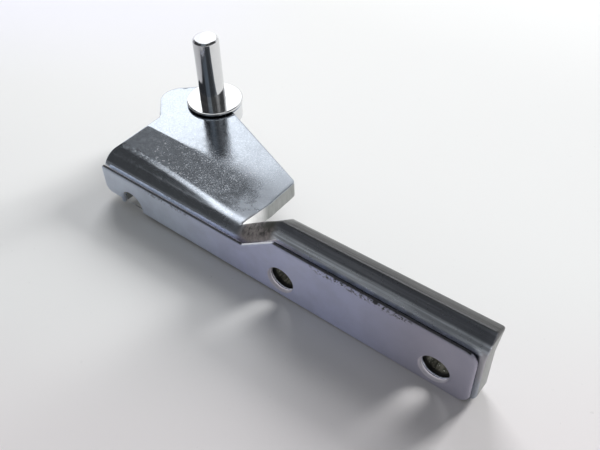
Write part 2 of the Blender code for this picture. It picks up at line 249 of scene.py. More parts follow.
class Graph:
    """Short calls for the nodes of one material or world."""

    def __init__(self, tree):
        self.tree = tree

    def add(self, kind, **settings):
        node = self.tree.nodes.new(kind)
        for key, value in settings.items():
            setattr(node, key, value)
        return node

    def feed(self, socket, value):
        if isinstance(value, bpy.types.NodeSocket):
            self.tree.links.new(value, socket)
        elif isinstance(value, tuple) and len(value) == 3 and socket.type == "RGBA":
            socket.default_value = (*value, 1.0)
        else:
            socket.default_value = value

    def math(self, operation, a, b=0.0, c=0.0):
        node = self.add("ShaderNodeMath", operation=operation)
        for socket, value in zip(node.inputs, (a, b, c)):
            self.feed(socket, value)
        return node.outputs[0]

    def times(self, first, *others):
        for other in others:
            first = self.math("MULTIPLY", first, other)
        return first

    def plus(self, first, *others):
        for other in others:
            first = self.math("ADD", first, other)
        return first

    def less(self, a, b):
        return self.math("SUBTRACT", a, b)

    def smooth(self, value, low, high, to_low=0.0, to_high=1.0):
        node = self.add("ShaderNodeMapRange", interpolation_type="SMOOTHSTEP")
        for name, number in (("Value", value), ("From Min", low), ("From Max", high),
                             ("To Min", to_low), ("To Max", to_high)):
            self.feed(node.inputs[name], number)
        return node.outputs["Result"]

    def band(self, value, low, high, soft):
        """One between low and high, falling to nothing over a soft margin outside."""
        rise = self.smooth(value, low - soft, low)
        fall = self.smooth(value, high, high + soft, 1.0, 0.0)
        return self.times(rise, fall)

    def mix(self, share, a, b):
        node = self.add("ShaderNodeMix", data_type="RGBA")
        self.feed(node.inputs[0], share)
        self.feed(node.inputs[6], a)
        self.feed(node.inputs[7], b)
        return node.outputs[2]

    def blend(self, share, a, b):
        node = self.add("ShaderNodeMix", data_type="FLOAT")
        self.feed(node.inputs[0], share)
        self.feed(node.inputs[2], a)
        self.feed(node.inputs[3], b)
        return node.outputs[0]

    def place(self):
        """Place on the part in millimetres from the drawing's corner, as a vector, x, y and z."""
        coordinate = self.add("ShaderNodeTexCoord").outputs["Object"]
        scale = self.add("ShaderNodeVectorMath", operation="MULTIPLY_ADD")
        self.feed(scale.inputs[0], coordinate)
        scale.inputs[1].default_value = (1000, 1000, 1000)
        scale.inputs[2].default_value = ORIGIN
        split = self.add("ShaderNodeSeparateXYZ")
        self.feed(split.inputs[0], scale.outputs[0])
        return scale.outputs[0], split.outputs[0], split.outputs[1], split.outputs[2]

    def noise(self, vector, scale, detail=2.0, roughness=0.5, stretch=(1, 1, 1), offset=(0, 0, 0)):
        mapping = self.add("ShaderNodeMapping")
        self.feed(mapping.inputs["Vector"], vector)
        mapping.inputs["Scale"].default_value = stretch
        mapping.inputs["Location"].default_value = offset
        node = self.add("ShaderNodeTexNoise")
        self.feed(node.inputs["Vector"], mapping.outputs[0])
        node.inputs["Scale"].default_value = scale
        node.inputs["Detail"].default_value = detail
        node.inputs["Roughness"].default_value = roughness
        return node.outputs["Fac"]

    def bump(self, height, strength, distance):
        node = self.add("ShaderNodeBump")
        node.inputs["Strength"].default_value = strength
        node.inputs["Distance"].default_value = distance
        self.feed(node.inputs["Height"], height)
        return node.outputs["Normal"]

    def upward(self):
        """How far the part's surface faces up, from -1 to 1."""
        split = self.add("ShaderNodeSeparateXYZ")
        self.feed(split.inputs[0], self.add("ShaderNodeTexCoord").outputs["Normal"])
        return split.outputs[2]

    def distance(self, where, point):
        """Distance to a point of the drawing, in millimetres."""
        node = self.add("ShaderNodeVectorMath", operation="DISTANCE")
        self.feed(node.inputs[0], where)
        node.inputs[1].default_value = point
        return node.outputs["Value"]


def new_material(name):
    """Material with its graph and its shader node."""
    material = bpy.data.materials.new(name)
    material.use_nodes = True
    return material, Graph(material.node_tree), material.node_tree.nodes["Principled BSDF"]


def finish_shader(g, shader, base, metallic, roughness, normal=None):
    """Feed the shader's inputs."""
    values = {"Base Color": base, "Metallic": metallic, "Roughness": roughness}
    if normal is not None:
        values["Normal"] = normal
    for name, value in values.items():
        g.feed(shader.inputs[name], value)


def above_plate(g, x, z):
    """Height above the facing plate's stepped upper edge, in millimetres."""
    rise = g.add("ShaderNodeMapRange")
    for name, number in (("Value", x), ("From Min", PLATE_STEP[0]), ("From Max", PLATE_STEP[1]),
                         ("To Min", PLATE_LOW_TOP), ("To Max", PLATE_HIGH_TOP)):
        g.feed(rise.inputs[name], number)
    return g.less(z, rise.outputs["Result"])


def turned_fall(g, along, reach):
    """Fall of a profile whose slope grows to one over a reach and then stays."""
    near = g.math("MINIMUM", along, reach)
    return g.plus(g.times(near, near, 0.5 / reach), g.less(along, near))


def zinc_textures(g, where, x, y):
    """Grain, mottling, clouds and rolling marks of the sheet, and light specks beside its bend."""
    speck = g.smooth(g.noise(where, 2.3, 4.0, 0.75, offset=(7, 3, 1)), 0.53, 0.67)
    return SimpleNamespace(
        grain=g.noise(where, 2.6, 4.0, 0.65),
        mottle=g.noise(where, 0.75, 3.0, 0.6, offset=(3, 1, 8)),
        cloud=g.noise(where, 0.2, 3.0, 0.6),
        rolled=g.noise(where, 1.1, 4.0, 0.6, stretch=(0.03, 1.0, 1.0)),
        speck=g.times(speck, g.band(x, *SPECK_X), g.band(y, *SPECK_Y)),
    )


def zinc_zones(g, x, y, z):
    """Shares of the rib, its arris, its end margin, the step, a line painted as a highlight, and the gap
    below it where shadow is painted.
    """
    over = above_plate(g, x, z)
    line = g.less(over, g.smooth(x, 38.0, 52.0, -1.2, -0.45))
    return SimpleNamespace(
        over=over,
        rib=g.times(g.smooth(x, *RIB_X), g.smooth(z, *RIB_Z)),
        arris=g.times(g.smooth(g.upward(), *ARRIS_UPWARD), g.smooth(x, *ARRIS_X)),
        margin=g.smooth(x, *MARGIN_X),
        step=g.times(g.band(x, *STEP_X), g.smooth(y, *STEP_Y)),
        highlight_line=g.times(g.band(line, *HIGHLIGHT_LINE_BAND), g.smooth(y, *HIGHLIGHT_LINE_Y), g.smooth(x, *HIGHLIGHT_LINE_END_X)),
        gap=g.times(g.smooth(line, *GAP_SHADOW_BELOW), g.smooth(x, *GAP_SHADOW_END_X), g.smooth(z, *GAP_SHADOW_Z)),
    )


def rib_colour(g, texture, zone):
    """Painted dark as shade, with rolling marks, pale streaks low down that are a painted reflection of the
    lit table, greyer at the top, a dull arris with painted shade over it, and a dull end margin.
    """
    # Painted shade: the rib is darker than the rest of the sheet
    face = g.mix(g.smooth(texture.rolled, 0.35, 0.65), *RIB_FACE_SHADE)
    # Painted reflection: pale streaks just above the facing plate
    streak = g.times(g.band(zone.over, -0.5, 1.0, 0.7), g.smooth(texture.rolled, 0.38, 0.62, 0.35, 0.95))
    face = g.mix(streak, face, RIB_STREAK_REFLECTION)
    face = g.mix(g.smooth(zone.over, 2.6, 5.0, 0.0, 0.7), face, RIB_TOP)
    # Painted shade on the arris where it faces up
    face = g.mix(zone.arris, face, RIB_ARRIS_SHADE)
    return g.mix(g.times(zone.margin, g.smooth(zone.over, 0.5, -0.5)), face, END_MARGIN)


def step_colour(g, texture, zone, x):
    """Brownish blotches, lighter low down, and painted shade beside the rib."""
    patch = g.plus(g.times(texture.mottle, 0.75), g.times(texture.grain, 0.25))
    blotch = g.mix(g.smooth(patch, 0.36, 0.62), *STEP_FACE)
    blotch = g.mix(g.smooth(zone.over, 1.6, 0.0, 0.0, 0.5), blotch, STEP_LOW)
    # Painted shade in the step beside the rib
    shade = g.times(g.band(x, *STEP_SHADE_X), g.smooth(zone.over, 1.2, 2.6))
    return g.mix(shade, blotch, STEP_SHADE)


def zinc_colour(g, texture, zone, x):
    """Clouded grey with specks, and the rib, the step, a painted highlight line and a painted gap shadow over
    it.
    """
    base = g.mix(texture.cloud, *ZINC)
    base = g.mix(g.times(texture.speck, 0.65), base, ZINC_SPECK)
    base = g.mix(g.smooth(texture.grain, 0.46, 0.72, 0.0, 0.55), base, ZINC_GRAIN)
    base = g.mix(zone.rib, base, rib_colour(g, texture, zone))
    base = g.mix(zone.step, base, step_colour(g, texture, zone, x))
    # Painted highlight: a pale line where the sheet goes down behind the facing plate; painted shadow: a dark
    # gap below it
    pale = g.mix(g.smooth(x, 54.0, 64.0), *HIGHLIGHT_LINE_TINT)
    base = g.mix(g.times(zone.highlight_line, g.smooth(texture.grain, 0.25, 0.5, 0.25, 1.0)), base, pale)
    return g.mix(zone.gap, base, GAP_SHADOW)


def zinc_roughness(g, texture, zone, x):
    """Smooth at the tongue's left end, duller towards the slit, on the rib, in the step and on the edges."""
    corner = g.times(g.smooth(x, *CORNER_X), g.smooth(texture.cloud, 0.2, 0.5), g.smooth(x, *CORNER_END_X))
    rough = g.blend(g.smooth(x, 4.0, 34.0), 0.105, 0.175)
    rough = g.blend(zone.rib, rough, 0.27)
    rough = g.plus(rough, g.times(g.smooth(texture.mottle, 0.35, 0.7), 0.06))
    rough = g.plus(rough, g.times(g.math("MAXIMUM", texture.speck, corner), 0.12))
    rough = g.blend(zone.step, rough, 0.38)
    rough = g.blend(zone.highlight_line, rough, 0.5)
    return g.blend(g.math("MAXIMUM", zone.margin, zone.arris), rough, 0.45)


def pressed_relief(g, x, y):
    """Height that the press left: a tilted strip beside the bend, and a bend that begins early."""
    reach = g.smooth(x, 10.0, 34.0, 0.5, 7.0)
    strip = g.math("SMOOTH_MAX", g.less(PRESSED_Y, y), 0.0, reach)
    strip = g.math("SMOOTH_MIN", strip, PRESSED_Y - PRESSED_END_Y, 0.8)
    early = g.math("MAXIMUM", g.less(g.smooth(x, 2.0, 44.0, 8.3, 5.9), y), 0.0)
    late = g.math("MAXIMUM", g.less(FACE_Y + BEND_RADIUS, y), 0.0)
    fall = g.times(turned_fall(g, early, EARLY_REACH), -EARLY_REACH)
    fall = g.plus(fall, g.times(turned_fall(g, late, LATE_REACH), EARLY_REACH))
    fall = g.times(fall, g.smooth(x, 38.0, 24.0, 0.4, 1.0), 1 / EARLY_RADIUS)
    return g.plus(g.times(strip, -math.tan(PRESSED_TILT)), fall)


def zinc_relief(g, texture, zone, x, y):
    """Height of the press marks, the uneven tongue and the rib's rolling marks."""
    even = g.times(g.smooth(x, 34.0, 26.0), g.smooth(x, 2.0, 12.0, 0.35, 1.0))
    uneven = g.times(g.plus(g.times(texture.mottle, 0.012), g.times(texture.grain, 0.009)), even)
    rolled = g.times(zone.rib, texture.rolled, g.smooth(x, 95.7, 95.2), 0.02)
    return g.plus(pressed_relief(g, x, y), uneven, rolled)


def zinc_material():
    """Zinc plated sheet: mirror-like near the bend's left end, cloudier and speckled towards the slit."""
    material, g, shader = new_material("zinc_sheet")
    where, x, y, z = g.place()
    texture = zinc_textures(g, where, x, y)
    zone = zinc_zones(g, x, y, z)
    base = zinc_colour(g, texture, zone, x)
    rough = zinc_roughness(g, texture, zone, x)
    finish_shader(g, shader, base, 1.0, rough, g.bump(zinc_relief(g, texture, zone, x, y), 1.0, MM))
    return material


def sheared_material():
    """Sheared edge of the sheet: streaked, dull along the rib's crest, and near white where the slit tore,
    partly torn steel and partly a painted highlight.
    """
    material, g, shader = new_material("sheared_edge")
    where, x, y, z = g.place()
    streak = g.noise(where, 1.6, 3.0, 0.6, stretch=(1.6, 1.6, 0.25))
    along = g.noise(where, 1.4, 3.0, 0.65, stretch=(0.05, 1.5, 1.5))
    crest = g.times(g.smooth(z, 15.0, 16.0), g.smooth(x, 47.0, 54.0))
    torn_highlight = g.times(g.smooth(y, 11.5, 9.0), g.smooth(x, 38.0, 39.0), g.smooth(x, 52.0, 46.0))
    base = g.mix(crest, g.mix(streak, *SHEARED_WALL), g.mix(g.smooth(along, 0.35, 0.7), *SHEARED_CREST))
    # Painted highlight on the torn face: near white and hardly metallic
    base = g.mix(torn_highlight, base, SHEARED_TORN_HIGHLIGHT)
    base = g.mix(g.smooth(y, 21.0, 26.0), base, SHEARED_BACK)
    rough = g.blend(torn_highlight, g.blend(streak, 0.45, 0.32), 0.3)
    normal = g.bump(g.blend(crest, streak, along), 0.6, 0.1 * MM)
    finish_shader(g, shader, base, g.blend(torn_highlight, 0.85, 0.1), rough, normal)
    return material


def hole_material():
    """Inside of the punched holes: dull, brownish and rough, and very dark partly as painted shade of the
    deep hole, with painted glints and painted black shade near the mouth.
    """
    material, g, shader = new_material("hole_wall")
    where, x, y, z = g.place()
    streak = g.noise(where, 1.3, 3.0, 0.6, stretch=(1.5, 0.3, 1.5))
    painted_glint = g.smooth(g.noise(where, 2.2, 3.0, 0.7, offset=(5, 2, 9)), 0.62, 0.70)
    # Painted glints on the hole's wall
    base = g.mix(painted_glint, g.mix(g.smooth(streak, 0.35, 0.7), *HOLE_WALL), HOLE_PAINTED_GLINT)
    # Painted shade: black near the hole's front mouth
    base = g.mix(g.smooth(y, 2.6, 2.0), base, HOLE_MOUTH_SHADE)
    finish_shader(g, shader, base, 0.7, 0.4, g.bump(streak, 0.6, 0.1 * MM))
    return material


def coat_wear(g, where, x, over):
    """Worn specks under the plate's upper edge, and one nick in it."""
    place_worn = g.math("MAXIMUM", g.times(g.band(x, 18.0, 26.0, 5.0), 0.6), g.band(x, 63.0, 81.0, 4.0))
    low = g.blend(place_worn, -0.05, -1.5)
    near_edge = g.smooth(g.math("DIVIDE", over, low), 1.0, 0.3)
    fleck = g.smooth(g.noise(where, 1.7, 4.0, 0.72, offset=(2, 6, 4)), 0.50, 0.58)
    nick = g.smooth(g.distance(where, NICK), 0.75, 0.45)
    return g.math("MAXIMUM", g.times(near_edge, fleck, place_worn), nick)


def coat_colour(g, where, x, cloud, over):
    """Coat painted lighter at its left end and greyer towards its right end as light and shade, with clouds,
    wear and rings painted as highlights.
    """
    # Painted light at the left end and painted shade towards the right end
    base = g.mix(g.smooth(x, 18.0, 45.0), COAT_LEFT_LIGHT, COAT_MIDDLE)
    base = g.mix(g.smooth(x, 66.0, 88.0), base, COAT_RIGHT_SHADE)
    base = g.mix(g.smooth(cloud, 0.3, 0.7, 0.0, 0.22), base, COAT_CLOUD)
    base = g.mix(coat_wear(g, where, x, over), base, COAT_WORN)
    # Pale rings round the screw holes, painted highlights on the rolled hole edges, wider towards the lower
    # left
    for hole in SCREW_HOLES:
        away = g.distance(where, (hole - RING_HIGHLIGHT_SHIFT, 0.0, SCREW_HOLE_Z - RING_HIGHLIGHT_SHIFT))
        base = g.mix(g.smooth(away, SCREW_HOLE_RADIUS + 0.30, SCREW_HOLE_RADIUS + 0.10), base, COAT_RING_HIGHLIGHT)
    return base


def facing_material():
    """Satin lavender-grey coat, with rims painted by the way they face: shadow dark along the top, a pale
    highlight on the step, brownish shade below.
    """
    material, g, shader = new_material("facing_coat")
    where, x, y, z = g.place()
    cloud = g.noise(where, 0.22, 3.0, 0.55)
    grain = g.noise(where, 6.0, 3.0, 0.6)
    over = above_plate(g, x, z)
    upward = g.upward()
    edge = g.times(g.smooth(over, -0.4, -0.2), g.smooth(upward, 0.35, 0.6), g.smooth(y, 0.1, 0.35))
    on_step = g.band(x, 43.5, 51.0, 0.8)
    base = coat_colour(g, where, x, cloud, over)
    # Painted shadow on the top rim, painted highlight on the step's rim and painted shade on the rims that
    # face down
    base = g.mix(g.times(edge, g.less(1.0, on_step)), base, RIM_TOP_SHADOW)
    base = g.mix(g.times(edge, on_step), base, RIM_STEP_HIGHLIGHT)
    base = g.mix(g.smooth(upward, -0.35, -0.6), base, RIM_BELOW_SHADE)
    rough = g.plus(g.blend(cloud, 0.34, 0.46), g.times(edge, 0.25))
    finish_shader(g, shader, base, 0.1, rough, g.bump(grain, 0.12, 0.03 * MM))
    return material


def bright_material(name, roughness):
    """Plated turned steel, painted darker on one side as shade, and with fine rings from the lathe."""
    material, g, shader = new_material(name)
    where, x, y, z = g.place()
    cloud = g.noise(where, 0.8, 3.0, 0.6)
    ring = g.noise(where, 3.0, 2.0, 0.5, stretch=(0.15, 0.15, 4.0))
    side = g.plus(g.times(x, ACROSS[0]), g.times(y, ACROSS[1]))
    # Painted shade on one side of the pin above the washer
    dull = g.times(g.smooth(side, SHADED_SIDE_LINE + 1.0, SHADED_SIDE_LINE - 1.5), g.smooth(z, 11.2, 11.6))
    base = g.mix(dull, g.mix(cloud, *BRIGHT), BRIGHT_SHADED_SIDE)
    rough = g.blend(cloud, roughness, roughness + 0.06)
    finish_shader(g, shader, base, 1.0, rough, g.bump(ring, 0.08, 0.02 * MM))
    return material


def table_material():
    """Pale table, a little bluer behind on the left, and warmer and darker in front as painted shade."""
    material, g, shader = new_material("table_top")
    where, x, y, z = g.place()
    cloud = g.noise(where, 0.012, 2.0, 0.5)
    away = g.plus(g.times(x, -ACROSS[1]), g.times(y, ACROSS[0]))
    across = g.plus(g.times(x, ACROSS[0]), g.times(y, ACROSS[1]))
    base = g.mix(cloud, *TABLE_PALE)
    # Painted shade: warmer and darker in front
    base = g.mix(g.smooth(away, -30.0, -75.0), base, TABLE_FRONT_SHADE)
    base = g.mix(g.times(g.smooth(away, 40.0, 110.0), g.smooth(across, 60.0, 0.0)), base, TABLE_BLUE)
    fleck = g.smooth(g.noise(where, 0.9, 3.0, 0.7, offset=(9, 4, 2)), 0.70, 0.74)
    base = g.mix(g.times(fleck, 0.18), base, TABLE_FLECK)
    finish_shader(g, shader, base, 0.0, 0.55)
    return material


def arc(centre, radius, start, end, steps):
    """Points of an arc from one angle to another."""
    angles = np.linspace(start, end, steps + 1)
    return [(centre[0] + radius * math.cos(a), centre[1] + radius * math.sin(a)) for a in angles]


def rounded(corner, before, after, radius, steps=8):
    """Arc that rounds one corner of an outline, between the points before and after it."""
    corner, before, after = (np.array(p[:2], float) for p in (corner, before, after))
    a = (before - corner) / np.linalg.norm(before - corner)
    b = (after - corner) / np.linalg.norm(after - corner)
    half = math.acos(float(np.clip(a @ b, -1, 1))) / 2
    reach = radius / math.tan(half)
    centre = corner + (a + b) / np.linalg.norm(a + b) * radius / math.sin(half)
    start = math.atan2(*(corner + a * reach - centre)[::-1])
    end = math.atan2(*(corner + b * reach - centre)[::-1])
    turn = (end - start + math.pi) % (2 * math.pi) - math.pi
    return arc(centre, radius, start, start + turn, steps)


def resampled(points, spacing):
    """Closed outline with points no further apart than the spacing."""
    out = []
    for i, p in enumerate(points):
        q = points[(i + 1) % len(points)]
        count = max(1, int(math.ceil(math.dist(p, q) / spacing)))
        for k in range(count):
            s = k / count
            out.append((p[0] + (q[0] - p[0]) * s, p[1] + (q[1] - p[1]) * s))
    return np.array(out)


def inward(loop):
    """Unit miters pointing into the material, which lies to the left of the loop's direction."""
    after = np.roll(loop, -1, 0) - loop
    before = loop - np.roll(loop, 1, 0)
    after /= np.linalg.norm(after, axis=1)[:, None]
    before /= np.linalg.norm(before, axis=1)[:, None]
    left = np.stack([-after[:, 1] - before[:, 1], after[:, 0] + before[:, 0]], 1)
    length = np.linalg.norm(left, axis=1)[:, None]
    left /= np.maximum(length, 1e-9)
    half = np.abs(left[:, 0] * -after[:, 1] + left[:, 1] * after[:, 0])
    return left / np.maximum(half, 0.45)[:, None]


def inside(points, loops):
    """Even-odd test of points against closed loops."""
    count = np.zeros(len(points), int)
    for loop in loops:
        a, b = loop, np.roll(loop, -1, 0)
        for (x0, y0), (x1, y1) in zip(a, b):
            crosses = (y0 > points[:, 1]) != (y1 > points[:, 1])
            if y0 != y1:
                at = x0 + (points[:, 1] - y0) / (y1 - y0) * (x1 - x0)
                count += crosses & (points[:, 0] < at)
    return count % 2 == 1


def clearance(points, loops):
    """Distance of each point to the nearest loop point."""
    rim = np.concatenate(loops)
    best = np.full(len(points), 1e9)
    for start in range(0, len(points), 2000):
        part = points[start:start + 2000]
        d = np.linalg.norm(part[:, None] - rim[None], axis=2)
        best[start:start + 2000] = d.min(1)
    return best


def rim_profile(thickness, front, rear, steps=4):
    """Inset and depth of the wall's rings: rounded front arris, straight cut, rounded rear arris."""
    turns = [math.pi / 2 * i / steps for i in range(steps + 1)]
    rings = [(front * (1 - math.sin(a)), front * (1 - math.cos(a))) for a in turns]
    return rings + [(rear * (1 - math.cos(a)), thickness - rear * (1 - math.sin(a))) for a in turns]


def filling(outline, loops, rows, spacing):
    """Points of a staggered grid across the outline that lie inside the loops and clear of them."""
    low, high = outline.min(0), outline.max(0)
    grid = []
    for k, v in enumerate(rows):
        us = np.arange(low[0] + (k % 2) * spacing / 2, high[0], spacing)
        grid.append(np.stack([us, np.full(len(us), v)], 1))
    grid = np.concatenate(grid)
    grid = grid[inside(grid, loops)]
    return grid[clearance(grid, loops) > GRID_CLEARANCE]


def filled(loops, grid):
    """Triangles between the loops and through the grid, and the new number of each loop point."""
    edges = []
    start = 0
    for loop in loops:
        n = len(loop)
        edges += [(start + i, start + (i + 1) % n) for i in range(n)]
        start += n
    flat = np.concatenate(loops + [grid])
    result = geometry.delaunay_2d_cdt([Vector(p) for p in flat], edges, [], 0, 1e-6)
    spots = np.array([tuple(p) for p in result[0]])
    triangles = np.array(result[2])
    triangles = triangles[inside(spots[triangles].mean(1), loops)]
    keep = {}
    for new, old in enumerate(result[3]):
        for source in old:
            keep[source] = new
    return spots, triangles, keep


def sheet_mesh(loops, profiles, rows, spacing, surface, thickness, slots):
    """Closed solid of a sheet: filled front and rear faces, and a profiled wall round each loop.

    The first loop runs counter-clockwise and holes run clockwise. surface(u, v, depth) gives the place.
    """
    loops = [resampled(loop, OUTLINE_SPACING) for loop in loops]
    miters = [inward(loop) for loop in loops]
    inset = [loop + miter * profile[0][0] for loop, miter, profile in zip(loops, miters, profiles)]
    spots, triangles, keep = filled(inset, filling(loops[0], inset, rows, spacing))
    verts = []
    faces = []
    kinds = []

    def add_points(points, depth):
        first = len(verts)
        verts.extend(surface(points[:, 0], points[:, 1], np.full(len(points), float(depth))))
        return first

    front = add_points(spots, 0.0)
    rear = add_points(spots, thickness)
    for a, b, c in triangles:
        faces.append((front + a, front + b, front + c))
        faces.append((rear + a, rear + c, rear + b))
        kinds += [0, 0]
    start = 0
    for loop, miter, profile, slot in zip(loops, miters, profiles, slots):
        n = len(loop)
        rings = [[front + keep[start + i] for i in range(n)]]
        for distance, depth in profile[1:]:
            first = add_points(loop + miter * distance, depth)
            rings.append(list(range(first, first + n)))
        rings.append([rear + keep[start + i] for i in range(n)])
        arris = next(k for k, (distance, depth) in enumerate(profile) if distance <= 1e-6)
        for k in range(len(rings) - 1):
            for i in range(n):
                j = (i + 1) % n
                faces.append((rings[k][i], rings[k + 1][i], rings[k + 1][j], rings[k][j]))
                kinds.append(0 if k < arris - 1 else slot)
        start += n
    return verts, faces, kinds


def place(name, verts, faces, kinds, materials, angle=40):
    """Object from points in millimetres, moved to the part's origin."""
    mesh = bpy.data.meshes.new(name)
    origin = np.array(ORIGIN)
    mesh.from_pydata([tuple((np.array(v) - origin) * MM) for v in verts], [], faces)
    for material in materials:
        mesh.materials.append(material)
    mesh.polygons.foreach_set("material_index", kinds)
    bm = bmesh.new()
    bm.from_mesh(mesh)
    bmesh.ops.remove_doubles(bm, verts=bm.verts, dist=1e-8)
    bmesh.ops.recalc_face_normals(bm, faces=bm.faces)
    bm.to_mesh(mesh)
    bm.free()
    mesh.shade_smooth()
    mesh.set_sharp_from_angle(angle=math.radians(angle))
    item = bpy.data.objects.new(name, mesh)
    bpy.context.scene.collection.objects.link(item)
    return item


def tip_x():
    """Where the slit's tip lies along the flange."""
    y = FACE_Y + BEND_RADIUS * (1 - math.cos(SLIT_ANGLE))
    return slit_x(y)


def slit_x(y):
    """Where the tongue's right edge lies, at a distance behind the plate."""
    share = np.clip((SLIT_FLARE_Y - y) / (SLIT_FLARE_Y - FACE_Y), 0, 1)
    return TONGUE_WIDTH - SLIT_TAPER * share


def step_shape(x):
    """Bend height, radius, lean and straight length of the sheet's section at x, right of the slit."""
    share = np.clip((x - tip_x()) / (STEP_END_X - tip_x()), 0, 1)
    ease = share * share * (3 - 2 * share)
    along = np.clip((x - STEP_END_X) / (FLANGE_LENGTH - STEP_END_X), 0, 1)
    bend_z = BEND_Z + RIB_RISE * (share + ease) / 2
    radius = BEND_RADIUS + (RIB_RADIUS - BEND_RADIUS) * share
    lean = SLIT_ANGLE + (RIB_LEAN - SLIT_ANGLE) * ease
    straight = SLIT_TIP_LIP + (RIB_HEIGHT_AT_STEP - SLIT_TIP_LIP) * share
    straight = straight + (RIB_HEIGHT_AT_END - RIB_HEIGHT_AT_STEP) * along
    return bend_z, radius, lean, straight


def crest(x):
    """Height of the sheet's upper edge in the flat blank, right of the slit."""
    bend_z, radius, lean, straight = step_shape(x)
    return bend_z + radius * lean + straight


TIP_T = BEND_Z + BEND_RADIUS * SLIT_ANGLE + SLIT_TIP_LIP
FLAT_T = BEND_Z + BEND_RADIUS * math.pi / 2
FLAT_Y = FACE_Y + BEND_RADIUS


def bracket_surface(x, t, depth):
    """Place on the folded sheet: x along the flange, t up its front and over the bend, depth into it."""
    bend_y = FACE_Y + BEND_RADIUS * (1 - np.cos(np.clip((t - BEND_Z) / BEND_RADIUS, 0, math.pi / 2)))
    bend_y = bend_y + np.maximum(0, t - FLAT_T)
    tongue = (t > TIP_T - 1e-6) & (x <= slit_x(bend_y) + TONGUE_SIDE_SLACK)
    bend_z, radius, lean, straight = step_shape(x)
    bend_z = np.where(tongue, BEND_Z, bend_z)
    radius = np.where(tongue, BEND_RADIUS, radius)
    lean = np.where(tongue, math.pi / 2, lean)
    a = np.clip((t - bend_z) / radius, 0, lean)
    low = np.minimum(t, bend_z)
    past = np.maximum(0, t - bend_z - radius * lean)
    y = FACE_Y + radius - (radius - depth) * np.cos(a) + past * np.sin(a)
    z = low + (radius - depth) * np.sin(a) + past * np.cos(a)
    return np.stack([x, y, z], 1)


def tongue_outline():
    """Tongue's outline beyond its bend in x and y, from its right edge round the pin to its left edge."""
    pin = np.array(PIN)
    tip = np.array((TONGUE_WIDTH, RIGHT_EDGE_END_Y))
    span = np.linalg.norm(pin - tip)
    slant = math.atan2(*(pin - tip)[::-1]) - math.asin(SLANT_BEHIND_PIN / span)
    slant_end = tip + span * np.array((math.cos(slant), math.sin(slant)))
    points = rounded(tip, (TONGUE_WIDTH, SLIT_FLARE_Y), slant_end, RIGHT_CORNER_RADIUS)
    meet = slant - math.pi / 2 - math.acos(SLANT_BEHIND_PIN / BOSS_RADIUS)
    away = math.atan2(EAR[1] - pin[1], EAR[0] - pin[0])
    leave = away - math.acos(BOSS_RADIUS / math.dist(EAR, PIN))
    points += arc(pin, BOSS_RADIUS, meet, leave % (2 * math.pi), 40)
    points += rounded(EAR, points[-1], (0.0, LEFT_EDGE_END_Y), EAR_RADIUS, 16)
    points.append((0.0, LEFT_EDGE_END_Y))
    return points


def bracket_outline():
    """Counter-clockwise outline of the flat blank in x and t.

    The points before and after a rounded corner only give its directions.
    """
    slot_x, slot_z, slot_radius = SLOT
    points = rounded((0.0, FOOT_Z), (0.0, 8.0), (FOOT_END_X, FOOT_Z), FOOT_CORNER_RADIUS)
    points += [(FOOT_END_X, FOOT_Z), (FOOT_END_X, 0.0), (slot_x - slot_radius, 0.0)]
    points += arc((slot_x, slot_z), slot_radius, math.pi, 0.0, 24)
    points.append((slot_x + slot_radius, 0.0))
    points += rounded((FLANGE_LENGTH, 0.0), (50.0, 0.0), (FLANGE_LENGTH, 8.0), FLANGE_CORNER_RADIUS)
    end_t = float(crest(FLANGE_LENGTH))
    points += rounded((FLANGE_LENGTH, end_t), (FLANGE_LENGTH, 0.0), (60.0, end_t), CREST_CORNER_RADIUS, 4)
    for x in np.linspace(FLANGE_LENGTH - 4, tip_x(), 90):
        points.append((x, float(crest(x))))
    for y in np.linspace(FACE_Y + BEND_RADIUS * (1 - math.cos(SLIT_ANGLE + 0.05)), SLIT_FLARE_Y, 24):
        bend = math.acos(max(0.0, 1 - (y - FACE_Y) / BEND_RADIUS)) if y < FLAT_Y else math.pi / 2
        t = BEND_Z + BEND_RADIUS * bend + max(0.0, y - FLAT_Y)
        points.append((float(slit_x(y)), t))
    for x, y in tongue_outline():
        points.append((x, FLAT_T + y - FLAT_Y))
    return points


def circle(centre, radius, steps=72):
    """Clockwise loop without its last point, which would repeat the first."""
    return arc(centre, radius, 2 * math.pi, 0.0, steps)[:-1]


def make_bracket(materials):
    """Folded sheet with the pin's hole and two screw holes."""
    pin_t = FLAT_T + PIN[1] - FLAT_Y
    loops = [bracket_outline(), circle((PIN[0], pin_t), PIN_RADIUS + PIN_CLEARANCE)]
    loops += [circle((x, SCREW_HOLE_Z), SCREW_HOLE_RADIUS) for x in SCREW_HOLES]
    edge = rim_profile(SHEET, *SHEET_ARRIS)
    rows = list(np.arange(0.3, BEND_Z, FLAT_ROWS)) + list(np.arange(BEND_Z, FLAT_T, BEND_ROWS))
    rows += list(np.arange(FLAT_T, pin_t + ROWS_PAST_PIN, FLAT_ROWS))
    slots = [1, 1, 2, 2]
    verts, faces, kinds = sheet_mesh(loops, [edge] * 4, rows, SHEET_SPACING, bracket_surface, SHEET, slots)
    return place("bracket_body", verts, faces, kinds, materials)


